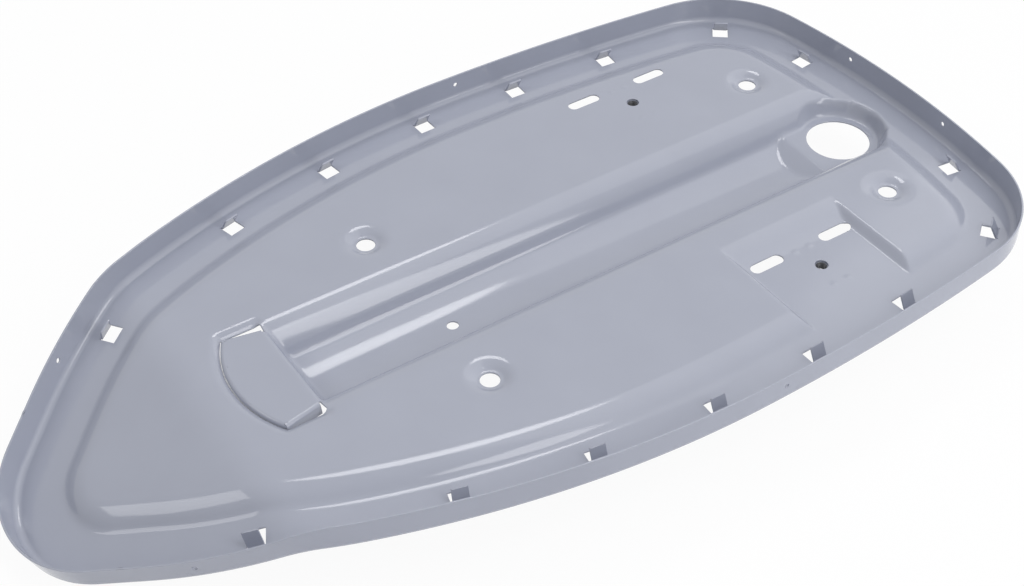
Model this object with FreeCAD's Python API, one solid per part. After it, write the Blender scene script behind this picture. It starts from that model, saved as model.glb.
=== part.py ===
import FreeCAD, Part
import math
import os
from FreeCAD import Placement, Rotation, Vector

# Pressed steel base pan of a moped seat, in millimetres.
# X runs from the nose to the wide rear end, Y to the rider's right, Z up.
# The origin is the middle of the four buffer holes, on the floor of their dishes. The shapes are
# drawn with the top of the pan's floor at Z = 0 and lifted by the depth of the dishes at the end.

# Sheet and border section
sheet = 1.0               # thickness of the sheet
rim_top = 11.0            # height of the rim's edge above the floor
gutter_drop = 4.4         # depth of the gutter below the floor
rim_fillet = 3.4          # inside radius between gutter and rim
gutter_inset = 25.0       # outline to the toe of the floor's step
floor_inset = 44.8        # outline to the flat floor
toe_radius = 8.0          # hollow radius at the toe of the step

# Outline of the unbent pan, as tangent arcs
nose_reach = 357.0        # origin to the nose tip, before bending
rear_reach = 191.5        # origin to the rear edge
half_width = 147.0        # widest half width
widest_x = -29.5          # place of the widest point
nose_radius = 59.0
shoulder_start = -226.4   # place where the side's front arc runs into the shoulder
shoulder_radius = 291.0
side_front_radius = 589.0
side_rear_radius = 1295.0
corner_radius = 62.5
rear_radius = 517.0

# Bend of the nose
bend_start = -243.5       # place of the bend's first line
bend_radius = 47.5        # radius at the top of the floor
bend_angle = 21.0
bend_sections = 5         # sections that carry the skin round the bend

# Centre channel with its round seat
channel_half_width = 37.2
channel_depth = 19.3
channel_flank = 65.0      # slope of the flanks
channel_edge_radius = 17.0
channel_toe_radius = 2.0  # hollow between flank and channel floor
channel_floor_radius = 51.0
channel_overlap = 2.0     # front edge at floor level, ahead of the tongue's root
channel_front_slope = 70.0
channel_ramp_slope = 31.0 # rise of the channel's floor towards the seat
channel_rear_inset = 15.5 # rear edge at floor level, from the pan's rear edge
channel_rear_slope = 60.0
channel_end_radius = 3.0
seat_inset = 43.0         # middle of the round seat, from the pan's rear edge
seat_depth = 13.4
seat_apron = 2.0          # level stretch between ramp and seat
seat_radius = 23.0
seat_slope = 70.0
seat_hole = 36.0
drain_hole = 6.3
drain_x = -114.7
drain_y = -2.5

# Lanced tongue ahead of the channel
tongue_setback = 8.5      # bend's first line to the tongue's front
tongue_length = 31.0
tongue_radius = 64.0
tongue_half_width = 32.5  # at the front
tongue_rear_half_width = 28.5
slit = 0.9                # gap along the curved front
side_slot_y = 35.2        # outer edge of the gaps along the two sides
side_slot_end_radius = 1.7
lip_width = 5.8
lip_drop = 2.6
front_flange = 6.2        # turned-down front edge of the tongue
front_relief = 1.0        # flange's end to the tongue's corner
flange_height = 6.5       # turned-down sides of the tongue
flange_angle = 80.0
flange_bend_radius = 1.0

# Buffer holes in their dishes
buffer_pitch_x = 258.0
buffer_pitch_y = 119.0
buffer_hole = 10.0
dish_radius = 13.0
dish_floor_radius = 6.2
dish_drop = 2.6

# Bracket slots and weld nuts
bracket_x = 60.75
slot_pitch = 46.5
slot_length = 20.5
slot_width = 6.7
nut_offset = 16.0         # slots to the nut, towards -Y
far_slot_inset = 50.7     # widest outline to the far slots
near_slot_inset = 79.6    # widest outline to the near slots
nut_clearance = 7.0       # hole in the sheet over the thread
nut_length = 36.0
nut_width = 14.0
nut_height = 4.5
nut_thread = 6.0
nut_chamfer = 0.8

# Recessed pad under the near bracket, level with the gutter
pad_front_reach = 40.75   # pattern's middle to the pad's front edge
pad_rear_reach = 38.25    # pattern's middle to the pad's rear edge
pad_inner_reach = 20.4    # slots to the pad's inner edge
pad_wall_slope = 45.0
pad_inner_slope = 24.0
pad_edge_radius = 2.0

# Claws that hold the cover, and small holes in the rim
claw = 9.2                # side of the square hole and of its claw
claw_inset = 14.2         # outline to the middle of the hole
claw_angle = 62.0
claw_bend_radius = 1.0
claw_stations = (128.0, 226.0, 295.0, 362.5, 425.5, 489.0, 576.0, 644.5)
rim_hole = 2.5
rim_hole_z = 4.7
rim_hole_stations = (103.0, 393.0, 670.0)

channel_rear = rear_reach - channel_rear_inset
seat_x = rear_reach - seat_inset
tongue_front = bend_start + tongue_setback
slot_end = tongue_front + tongue_length
channel_front = slot_end - channel_overlap
far_slot_y = half_width - far_slot_inset
near_slot_y = near_slot_inset - half_width
pad_front = bracket_x - pad_front_reach
pad_rear = bracket_x + pad_rear_reach
pad_inner_y = near_slot_y + pad_inner_reach

up = Vector(0, 0, 1)
quarter = math.pi / 2
top_room = rim_top / 2    # height to which the pressed forms are drawn, inside the rim
deep = 2 * channel_depth  # depth to which holes are drilled


def rad(angle):
    return math.radians(angle)


def polar(centre, radius, angle):
    return Vector(centre.x + radius * math.cos(angle), centre.y + radius * math.sin(angle), 0)


def meet(c1, r1, c2, r2, side):
    # the point at r1 from c1 and r2 from c2, on the given side of the line between them
    along = c2.sub(c1)
    gap = along.Length
    along.normalize()
    a = (r1 * r1 - r2 * r2 + gap * gap) / (2 * gap)
    h = math.sqrt(r1 * r1 - a * a)
    return c1 + along * a + Vector(-along.y, along.x, 0) * (h * side)


def angle_of(v):
    return math.atan2(v.y, v.x)


def outline_path():
    # segments of the half outline with y >= 0, from nose tip to rear middle
    tip = Vector(-nose_reach + nose_radius, 0, 0)
    side = Vector(widest_x, half_width - side_front_radius, 0)
    a_side = math.acos((shoulder_start - widest_x) / side_front_radius)
    shoulder = polar(side, side_front_radius - shoulder_radius, a_side)
    between = shoulder.sub(tip)
    a_nose = angle_of(between) + math.acos((nose_radius - shoulder_radius) / between.Length)
    leave = polar(tip, nose_radius, a_nose)
    arrive = polar(shoulder, shoulder_radius, a_nose)
    back = Vector(widest_x, half_width - side_rear_radius, 0)
    rear = Vector(rear_reach - rear_radius, 0, 0)
    corner = meet(back, side_rear_radius - corner_radius, rear, rear_radius - corner_radius, 1)
    if corner.y < 0:
        corner = meet(back, side_rear_radius - corner_radius, rear, rear_radius - corner_radius, -1)
    a_corner = angle_of(corner.sub(back))
    a_rear = angle_of(corner.sub(rear))
    return [
        ("arc", tip, nose_radius, math.pi, a_nose),
        ("line", leave, arrive, a_nose),
        ("arc", shoulder, shoulder_radius, a_nose, a_side),
        ("arc", side, side_front_radius, a_side, quarter),
        ("arc", back, side_rear_radius, quarter, a_corner),
        ("arc", corner, corner_radius, a_corner, a_rear),
        ("arc", rear, rear_radius, a_rear, 0.0),
    ]


path = outline_path()


def segment_length(seg):
    if seg[0] == "line":
        return seg[2].sub(seg[1]).Length
    return seg[2] * abs(seg[4] - seg[3])


def station(distance):
    # point on the outline and its outward direction, at a distance along the rim from the nose tip
    for seg in path:
        length = segment_length(seg)
        if distance <= length:
            break
        distance -= length
    if seg[0] == "line":
        run = seg[2].sub(seg[1]).normalize()
        return seg[1] + run * distance, seg[3]
    angle = seg[3] + (seg[4] - seg[3]) * distance / length
    return polar(seg[1], seg[2], angle), angle


def wire(start, steps):
    # lines and three-point arcs in the plane of local X (outward) and Z
    edges = []
    here = Vector(start[0], 0, start[1])
    for step in steps:
        points = [Vector(x, 0, z) for x, z in step]
        if len(points) == 1:
            edges.append(Part.LineSegment(here, points[0]).toShape())
        else:
            edges.append(Part.Arc(here, points[0], points[1]).toShape())
        here = points[-1]
    return Part.Wire(edges)


def arc_to(cx, cz, radius, a0, a1):
    # middle and end of an arc about (cx, cz), angles in radians
    mid = 0.5 * (a0 + a1)
    return ((cx + radius * math.cos(mid), cz + radius * math.sin(mid)),
            (cx + radius * math.cos(a1), cz + radius * math.sin(a1)))


def carry(face, seg):
    # sweep a section, drawn with local X outward from the path, along one segment
    if seg[0] == "line":
        moved = face.copy()
        moved.Placement = Placement(seg[1], Rotation(up, math.degrees(seg[3])))
        return moved.extrude(seg[2].sub(seg[1]))
    moved = face.copy()
    moved.translate(Vector(seg[2], 0, 0))
    moved.Placement = Placement(seg[1], Rotation(up, math.degrees(seg[3]))).multiply(moved.Placement)
    turn = math.degrees(seg[4] - seg[3])
    return moved.revolve(seg[1], up, turn)


def mirrored(shape):
    return shape.mirror(Vector(0, 0, 0), Vector(0, 1, 0))


def inner_edge(seg, inset):
    if seg[0] == "line":
        out = Vector(math.cos(seg[3]), math.sin(seg[3]), 0)
        return Part.LineSegment(seg[1] - out * inset, seg[2] - out * inset).toShape()
    radius = seg[2] - inset
    mid = 0.5 * (seg[3] + seg[4])
    ends = [polar(seg[1], radius, angle) for angle in (seg[3], mid, seg[4])]
    return Part.Arc(*ends).toShape()


def border_section(offset):
    # the space above the sheet, from the rim's face to the flat floor; offset 0 follows the top of
    # the sheet and offset sheet its underside
    wall = offset - sheet
    fx = -sheet - rim_fillet
    fz = -gutter_drop + rim_fillet
    fr = rim_fillet + offset
    slope = 2 * math.atan2(gutter_drop, floor_inset - gutter_inset)
    brow_radius = (floor_inset - gutter_inset) / math.sin(slope) - toe_radius
    toe_z = -gutter_drop + toe_radius
    toe = arc_to(-gutter_inset, toe_z, toe_radius + offset, -quarter, -quarter - slope)
    brow = arc_to(-floor_inset, -brow_radius, brow_radius - offset, quarter - slope, quarter)
    return Part.Face(wire((wall, rim_top), [
        ((wall, fz),),
        arc_to(fx, fz, fr, 0, -quarter),
        ((-gutter_inset, -gutter_drop - offset),),
        toe,
        brow,
        ((-floor_inset, rim_top),),
        ((wall, rim_top),),
    ]))


def pan_space(offset):
    # everything above the offset sheet, up to the rim's edge
    section = border_section(offset)
    half = [carry(section, seg) for seg in path]
    edges = [inner_edge(seg, floor_inset) for seg in path]
    edges += [mirrored(edge) for edge in edges]
    core = Part.Face(Part.Wire(Part.__sortEdges__(edges)))
    core.translate(Vector(0, 0, -offset))
    core = core.extrude(Vector(0, 0, rim_top + offset))
    solids = half + [mirrored(piece) for piece in half]
    return core.multiFuse(solids).removeSplitter()


def box(x0, x1, y0, y1, z0, z1):
    return Part.makeBox(x1 - x0, y1 - y0, z1 - z0, Vector(x0, y0, z0))


def channel_arcs():
    # middles of the floor, edge and toe arcs on the +Y side, with the height as second coordinate, and
    # the angle at which toe and floor meet; the toe arc touches the flank and, from inside, the floor arc
    a = rad(channel_flank)
    floor = Vector(0, channel_floor_radius - channel_depth, 0)
    edge = Vector(channel_half_width, -channel_edge_radius, 0)
    down = Vector(-math.cos(a), -math.sin(a), 0)
    above = edge + Vector(-math.sin(a), math.cos(a), 0) * (channel_edge_radius + channel_toe_radius)
    gap = above.sub(floor)
    along = gap.dot(down)
    reach = channel_floor_radius - channel_toe_radius
    toe = above + down * (math.sqrt(along ** 2 - gap.Length ** 2 + reach ** 2) - along)
    return floor, edge, toe, math.atan2(toe.x, floor.y - toe.y)


def channel_across(offset):
    a = rad(channel_flank)
    floor, edge, toe, b = channel_arcs()
    toe_r = channel_toe_radius + offset
    edge_r = channel_edge_radius - offset
    toe_start = (toe.x + toe_r * math.sin(a), toe.y - toe_r * math.cos(a))
    left_edge_start = (-edge.x + edge_r * math.sin(a), edge.y + edge_r * math.cos(a))
    return wire((channel_half_width, top_room), [
        ((channel_half_width, -offset),),
        arc_to(edge.x, edge.y, edge_r, quarter, quarter + a),
        (toe_start,),
        arc_to(toe.x, toe.y, toe_r, a - quarter, b - quarter),
        arc_to(floor.x, floor.y, channel_floor_radius + offset, b - quarter, -b - quarter),
        arc_to(-toe.x, toe.y, toe_r, -b - quarter, -a - quarter),
        (left_edge_start,),
        arc_to(-edge.x, edge.y, edge_r, quarter - a, quarter),
        ((-channel_half_width, top_room),),
        ((channel_half_width, top_room),),
    ])


def channel_along(offset):
    # front wall, room for the channel's floor, ramp, seat level and rear wall
    f = rad(channel_front_slope)
    r = rad(channel_rear_slope)
    ramp = rad(channel_ramp_slope)
    end_r = channel_end_radius - offset
    under = -channel_depth - offset - sheet
    level = -seat_depth - offset
    front_edge = arc_to(channel_front, -channel_end_radius, end_r, quarter, quarter - f)
    rear_edge = arc_to(channel_rear, -channel_end_radius, end_r, quarter + r, quarter)
    front_x, front_z = front_edge[-1]
    rear_x = channel_rear - end_r * math.sin(r)
    rear_z = -channel_end_radius + end_r * math.cos(r)
    ramp_x = seat_x - seat_radius - seat_apron + offset * math.tan(ramp / 2)
    return wire((channel_front, top_room), [
        ((channel_front, -offset),),
        front_edge,
        ((front_x + (front_z - under) / math.tan(f), under),),
        ((ramp_x - (level - under) / math.tan(ramp), under),),
        ((ramp_x, level),),
        ((rear_x - (rear_z - level) / math.tan(r), level),),
        ((rear_x, rear_z),),
        rear_edge,
        ((channel_rear, top_room),),
        ((channel_front, top_room),),
    ])


def channel_space(offset):
    # the trough drawn across and carried along X, less what lies below its lengthwise section
    trough = Part.Face(channel_across(offset))
    trough.rotate(Vector(0, 0, 0), up, 90)
    trough.translate(Vector(channel_front, 0, 0))
    trough = trough.extrude(Vector(channel_rear - channel_front, 0, 0))
    ends = Part.Face(channel_along(offset))
    ends.translate(Vector(0, -channel_half_width, 0))
    ends = ends.extrude(Vector(0, 2 * channel_half_width, 0))
    return trough.common(ends)


def turned(points, x, y):
    # solid of revolution about the upright line through (x, y)
    face = Part.Face(wire(points[0], points[1:]))
    face.translate(Vector(x, y, 0))
    return face.revolve(Vector(x, y, 0), up, 360)


def seat_space(offset):
    s = rad(seat_slope)
    low = -seat_depth - offset
    foot = seat_radius + offset * math.tan(s / 2)
    top = foot + (0 - low) / math.tan(s)
    return turned([(0, low), ((foot, low),), ((top, 0),), ((0, 0),), ((0, low),)], seat_x, 0)


def dish_space(offset, x, y):
    run = dish_radius - dish_floor_radius
    slope = 2 * math.atan2(dish_drop, run)
    bend = run / math.sin(slope) / 2
    toe = arc_to(dish_floor_radius, -dish_drop + bend, bend + offset, -quarter, -quarter + slope)
    brow = arc_to(dish_radius, -bend, bend - offset, quarter + slope, quarter)
    low = -dish_drop - offset
    return turned([(0, top_room), ((0, low),), ((dish_floor_radius, low),), toe, brow,
                   ((dish_radius, top_room),), ((0, top_room),)], x, y)


def pad_space(offset):
    # a tray with two steep end walls and one soft inner wall, open to the gutter
    low = -gutter_drop - offset
    w = rad(pad_wall_slope)
    edge_r = pad_edge_radius - offset
    front_edge = arc_to(pad_front, -pad_edge_radius, edge_r, quarter, quarter - w)
    front_x, front_z = front_edge[-1]
    rear_x = pad_rear - edge_r * math.sin(w)
    along = wire((pad_front, top_room), [
        ((pad_front, -offset),),
        front_edge,
        ((front_x + (front_z - low) / math.tan(w), low),),
        ((rear_x - (front_z - low) / math.tan(w), low),),
        ((rear_x, front_z),),
        arc_to(pad_rear, -pad_edge_radius, edge_r, quarter + w, quarter),
        ((pad_rear, top_room),),
        ((pad_front, top_room),),
    ])
    outer_y = -half_width + gutter_inset
    ends = Part.Face(along)
    ends.translate(Vector(0, outer_y, 0))
    ends = ends.extrude(Vector(0, pad_inner_y - outer_y, 0))
    s = rad(pad_inner_slope)
    bend = (gutter_drop / 2) / (1 - math.cos(s))
    inner_x = 2 * bend * math.sin(s)
    across = wire((outer_y, top_room), [
        ((outer_y, low),),
        ((pad_inner_y - inner_x, low),),
        arc_to(pad_inner_y - inner_x, -gutter_drop + bend, bend + offset, -quarter, -quarter + s),
        arc_to(pad_inner_y, -bend, bend - offset, quarter + s, quarter),
        ((pad_inner_y, top_room),),
        ((outer_y, top_room),),
    ])
    tray = Part.Face(across)
    tray.rotate(Vector(0, 0, 0), up, 90)
    tray.translate(Vector(pad_front, 0, 0))
    tray = tray.extrude(Vector(pad_rear - pad_front, 0, 0))
    return tray.common(ends)


tongue_centre = Vector(tongue_front + tongue_radius, 0, 0)
slit_radius = tongue_radius + slit
slit_turn = math.asin(side_slot_y / slit_radius)
slit_corner = polar(tongue_centre, slit_radius, math.pi - slit_turn)
flat_radius = tongue_radius - flange_bend_radius - sheet
flat_corner = polar(tongue_centre, flat_radius, math.pi - math.asin(tongue_half_width / flat_radius))


def lip_section(offset, start):
    # floor turned down towards the gap; local X runs outward from the gap's edge
    bend = (lip_width ** 2 + lip_drop ** 2) / (2 * lip_drop)
    turn = math.asin(lip_width / bend)
    radius = bend - offset
    low = -bend + radius * math.cos(turn)
    edge = lip_width - radius * math.sin(turn)
    ledge = [((edge, low),)] if offset > 0 else []
    return Part.Face(wire((start, top_room), [((start, low),)] + ledge + [
        arc_to(lip_width, -bend, radius, quarter + turn, quarter),
        ((lip_width, top_room),),
        ((start, top_room),),
    ]))


def tongue_plan(z0, z1):
    # the tongue's flat: a curved front and sides that draw in towards the channel
    ahead = tongue_front - slit
    taper = Part.makePolygon([
        Vector(slit_corner.x, tongue_half_width, z0),
        Vector(slot_end, tongue_rear_half_width, z0),
        Vector(slot_end, -tongue_rear_half_width, z0),
        Vector(slit_corner.x, -tongue_half_width, z0),
        Vector(ahead, -tongue_half_width, z0),
        Vector(ahead, tongue_half_width, z0),
        Vector(slit_corner.x, tongue_half_width, z0)])
    plate = Part.Face(taper).extrude(Vector(0, 0, z1 - z0))
    disc = Part.makeCylinder(flat_radius, z1 - z0, tongue_centre + Vector(0, 0, z0))
    return plate.common(disc)


def lip_space(offset):
    # the turned-down floor all round the tongue's gap
    section = lip_section(offset, -offset)
    corner_section = lip_section(offset, 0.0)
    front = ("arc", tongue_centre, slit_radius, math.pi - slit_turn, math.pi + slit_turn)
    side_end = Vector(slot_end - side_slot_end_radius, side_slot_y, 0)
    side = ("line", slit_corner, side_end, math.pi / 2)
    corner = ("arc", slit_corner, 0.0, math.pi - slit_turn, math.pi / 2)
    end = ("arc", side_end, 0.0, math.pi / 2, 0.0)
    half = [carry(section, side), carry(corner_section, corner), carry(corner_section, end)]
    whole = carry(section, front)
    return whole.multiFuse(half + [mirrored(piece) for piece in half])


def tongue_gap():
    # what the lancing removes between tongue and floor
    z0 = -channel_depth
    z1 = rim_top
    disc = Part.makeCylinder(slit_radius, z1 - z0, tongue_centre + Vector(0, 0, z0))
    end_x = slot_end - side_slot_end_radius
    inside = box(tongue_front - slit, end_x, -side_slot_y, side_slot_y, z0, z1).common(disc)
    ends = []
    for side in (1, -1):
        at = Vector(end_x, side * (side_slot_y - side_slot_end_radius), z0)
        ends.append(Part.makeCylinder(side_slot_end_radius, z1 - z0, at))
        y0, y1 = sorted((side * tongue_rear_half_width, side * (side_slot_y - side_slot_end_radius)))
        ends.append(box(end_x, slot_end, y0, y1, z0, z1))
    return inside.multiFuse(ends).cut(tongue_plan(z0, z1))


def bent_strip(length, width, angle, radius, side):
    # a strip that leaves the sheet's edge along local -X and is turned up (side 1) or down (side -1);
    # its middle is at Y = 0 and the sheet's top at Z = 0
    a = rad(angle)
    leg = length - (radius + sheet / 2) * a
    root = sheet / 2
    near_z, far_z = (0, -sheet) if side > 0 else (-sheet, 0)
    cz = near_z + side * radius
    near = arc_to(0, cz, radius, -side * quarter, -side * (quarter + a))
    far = arc_to(0, cz, radius + sheet, -side * quarter, -side * (quarter + a))
    step = (-leg * math.cos(a), side * leg * math.sin(a))
    face = Part.Face(wire((root, near_z), [
        ((0, near_z),),
        near,
        ((near[1][0] + step[0], near[1][1] + step[1]),),
        ((far[1][0] + step[0], far[1][1] + step[1]),),
        (far[1],),
        (far[0], (0, far_z)),
        ((root, far_z),),
        ((root, near_z),),
    ]))
    face.translate(Vector(0, -width / 2, 0))
    return face.extrude(Vector(0, width, 0))


def tongue_front_flange():
    # the tongue's curved front edge turned straight down
    root = flat_radius - sheet / 2
    inner = tongue_radius - sheet
    bend_z = -flange_bend_radius - sheet
    section = Part.Face(wire((root, 0), [
        ((flat_radius, 0),),
        arc_to(flat_radius, bend_z, flange_bend_radius + sheet, quarter, 0),
        ((tongue_radius, -front_flange),),
        ((inner, -front_flange),),
        ((inner, bend_z),),
        arc_to(flat_radius, bend_z, flange_bend_radius, 0, quarter),
        ((root, -sheet),),
        ((root, 0),),
    ]))
    turn = math.asin((tongue_half_width - front_relief) / tongue_radius)
    return carry(section, ("arc", tongue_centre, 0.0, math.pi - turn, math.pi + turn))


def tongue_side_flange():
    run = Vector(slot_end - flat_corner.x, tongue_rear_half_width - tongue_half_width, 0)
    width = run.Length - 2 * side_slot_end_radius
    flange = bent_strip(flange_height, width, flange_angle, flange_bend_radius, -1)
    middle = Vector((slot_end + flat_corner.x) / 2, (tongue_rear_half_width + tongue_half_width) / 2, 0)
    flange.Placement = Placement(middle, Rotation(up, math.degrees(angle_of(run)) - 90))
    return flange


def bend_place(turn):
    # carries what lies bend_radius * turn ahead of the bend's first line round the bend
    slide = Placement(Vector(bend_radius * turn, 0, 0), Rotation())
    centre = Vector(bend_start, 0, -bend_radius)
    swing = Placement(Vector(0, 0, 0), Rotation(Vector(0, 1, 0), -math.degrees(turn)), centre)
    return swing.multiply(slide)


full_turn = rad(bend_angle)
bend_end = bend_start - bend_radius * full_turn


def on_nose(shape, x):
    # tools and claws that belong to the bent nose go with it
    if x < bend_end:
        shape.Placement = bend_place(full_turn).multiply(shape.Placement)
    return shape


def rim_frame(distance, inset, z):
    point, angle = station(distance)
    spot = point - Vector(math.cos(angle), math.sin(angle), 0) * inset
    return Placement(Vector(spot.x, spot.y, z), Rotation(up, math.degrees(angle))), spot.x


def both_sides(shape):
    return [shape, mirrored(shape)]


def claws_and_holes():
    claws, cuts = [], []
    for distance in claw_stations:
        place, x = rim_frame(distance, claw_inset, -gutter_drop)
        hole = box(-claw / 2, claw / 2, -claw / 2, claw / 2, -2 * sheet, sheet)
        hole.Placement = place
        place, x = rim_frame(distance, claw_inset - claw / 2, -gutter_drop)
        tab = bent_strip(claw, claw - sheet, claw_angle, claw_bend_radius, 1)
        tab.Placement = place
        cuts += both_sides(on_nose(hole, x))
        claws += both_sides(on_nose(tab, x))
    for distance in rim_hole_stations:
        place, x = rim_frame(distance, 2 * sheet, rim_hole_z)
        bore = Part.makeCylinder(rim_hole / 2, 4 * sheet, Vector(0, 0, 0), Vector(1, 0, 0))
        bore.Placement = place
        cuts += both_sides(on_nose(bore, x))
    return claws, cuts


def drill(diameter, x, y):
    return Part.makeCylinder(diameter / 2, rim_top + deep, Vector(x, y, -deep))


def slot_tool(x, y):
    end = slot_length / 2 - slot_width / 2
    body = box(x - end, x + end, y - slot_width / 2, y + slot_width / 2, -deep, rim_top)
    return body.multiFuse([drill(slot_width, x - end, y), drill(slot_width, x + end, y)])


buffer_spots = [(sx * buffer_pitch_x / 2, sy * buffer_pitch_y / 2) for sx in (-1, 1) for sy in (-1, 1)]


def features(offset):
    spaces = [channel_space(offset), seat_space(offset), pad_space(offset), lip_space(offset)]
    return spaces + [dish_space(offset, x, y) for x, y in buffer_spots]


def base_pan():
    above = pan_space(0.0)
    below = pan_space(sheet)
    flat = below.cut(above)
    room = 2 * nose_reach
    rear_room = box(bend_start, room, -room, room, -room, room)
    nose_room = box(-room, bend_end, -room, room, -room, room)
    outer = below.common(rear_room).multiFuse(features(sheet))
    inner = above.common(rear_room).multiFuse(features(0.0))
    main = outer.cut(inner)
    nose = flat.common(nose_room)
    nose.Placement = bend_place(full_turn).multiply(nose.Placement)
    sections = []
    for i in range(bend_sections):
        turn = full_turn * i / (bend_sections - 1)
        cut = flat.slice(Vector(1, 0, 0), bend_start - bend_radius * turn)[0]
        cut.Placement = bend_place(turn).multiply(cut.Placement)
        sections.append(cut)
    bend = Part.makeLoft(sections, True, False)
    pan = main.multiFuse([nose, bend])
    pan = pan.cut(tongue_gap())
    claws, cuts = claws_and_holes()
    cuts += [drill(buffer_hole, x, y) for x, y in buffer_spots]
    cuts += [drill(seat_hole, seat_x, 0), drill(drain_hole, drain_x, drain_y)]
    for y in (far_slot_y, near_slot_y):
        cuts += [slot_tool(bracket_x + side * slot_pitch / 2, y) for side in (-1, 1)]
        cuts.append(drill(nut_clearance, bracket_x, y - nut_offset))
    pan = pan.cut(Part.makeCompound(cuts))
    pan = pan.multiFuse(claws + both_sides(tongue_side_flange()) + [tongue_front_flange()])
    return pan.removeSplitter()


def weld_nut(y, top):
    nut = box(bracket_x - nut_width / 2, bracket_x + nut_width / 2, y - nut_length / 2, y + nut_length / 2,
              top - nut_height, top)
    lower = [edge for edge in nut.Edges if edge.CenterOfMass.z < top - nut_height + nut_chamfer / 2]
    nut = nut.makeChamfer(nut_chamfer, lower)
    return nut.cut(drill(nut_thread, bracket_x, y))


os.makedirs("parts", exist_ok=True)
lift = Vector(0, 0, dish_drop)
pan = base_pan().Solids[0]
pan.translate(lift)
pan.exportStep("parts/base_pan.step")
nuts = Part.makeCompound([weld_nut(far_slot_y - nut_offset, -sheet),
                          weld_nut(near_slot_y - nut_offset, -gutter_drop - sheet)])
nuts.translate(lift)
nuts.exportStep("parts/weld_nuts.step")
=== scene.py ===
import math

import bpy
import numpy as np
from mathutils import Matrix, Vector, geometry


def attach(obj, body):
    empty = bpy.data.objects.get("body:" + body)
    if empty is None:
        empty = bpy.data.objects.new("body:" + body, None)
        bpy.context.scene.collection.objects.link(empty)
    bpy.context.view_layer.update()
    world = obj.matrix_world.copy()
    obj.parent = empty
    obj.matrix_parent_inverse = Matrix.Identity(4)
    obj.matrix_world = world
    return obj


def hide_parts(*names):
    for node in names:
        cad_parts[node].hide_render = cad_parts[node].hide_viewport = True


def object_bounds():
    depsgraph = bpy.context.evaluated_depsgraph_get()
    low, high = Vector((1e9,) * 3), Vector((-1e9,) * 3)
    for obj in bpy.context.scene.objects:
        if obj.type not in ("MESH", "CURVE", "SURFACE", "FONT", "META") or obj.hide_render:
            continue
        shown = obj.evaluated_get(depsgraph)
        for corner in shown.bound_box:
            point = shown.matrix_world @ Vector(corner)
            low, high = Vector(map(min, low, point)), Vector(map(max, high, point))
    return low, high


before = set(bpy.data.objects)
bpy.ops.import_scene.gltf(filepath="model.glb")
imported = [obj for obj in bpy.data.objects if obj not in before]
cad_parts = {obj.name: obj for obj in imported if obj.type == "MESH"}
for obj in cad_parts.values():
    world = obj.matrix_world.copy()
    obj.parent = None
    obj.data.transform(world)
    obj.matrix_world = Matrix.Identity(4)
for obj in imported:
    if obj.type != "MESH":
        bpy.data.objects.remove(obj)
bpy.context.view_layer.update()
print("frame loaded:", ", ".join(sorted(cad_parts)))


def linear(hexColour):
    # sRGB hex value to linear colour
    srgb = np.array([int(hexColour[i:i + 2], 16) for i in (1, 3, 5)]) / 255
    bright = ((srgb + 0.055) / 1.055) ** 2.4
    return (*np.where(srgb <= 0.04045, srgb / 12.92, bright), 1.0)


def addNode(tree, kind, settings=None, inputs=None):
    # one shader node: its settings, then a value or a link on each named or numbered input
    node = tree.nodes.new(kind)
    for name, value in (settings or {}).items():
        setattr(node, name, value)
    for name, value in (inputs or {}).items():
        if isinstance(value, bpy.types.NodeSocket):
            tree.links.new(value, node.inputs[name])
        else:
            node.inputs[name].default_value = value
    return node


def newMaterial(name):
    material = bpy.data.materials.new(name)
    material.use_nodes = True
    material.node_tree.nodes.clear()
    return material, material.node_tree


# what counts as nothing: angles in radians, lengths in millimetres, areas, and lengths of unsized directions;
# "merge" is the distance at which two points of the net are one
least = {"angle": 1e-9, "length": 1e-6, "area": 1e-6, "direction": 1e-9, "merge": 1e-5}

# outline of the flat blank, in millimetres: tangent arcs from the nose tip to the rear
outline = {
    "noseReach": 357.0, "rearReach": 191.5, "halfWidth": 147.0, "widestX": -29.5,
    "noseRadius": 59.0, "shoulderStart": -226.4, "shoulderRadius": 291.0,
    "sideFrontRadius": 589.0, "sideRearRadius": 1295.0, "cornerRadius": 62.5, "rearRadius": 517.0,
}


def heading(angle):
    # unit direction at an angle in plan
    return np.array([math.cos(angle), math.sin(angle)])


def angleOf(v):
    return math.atan2(v[1], v[0])


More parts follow.
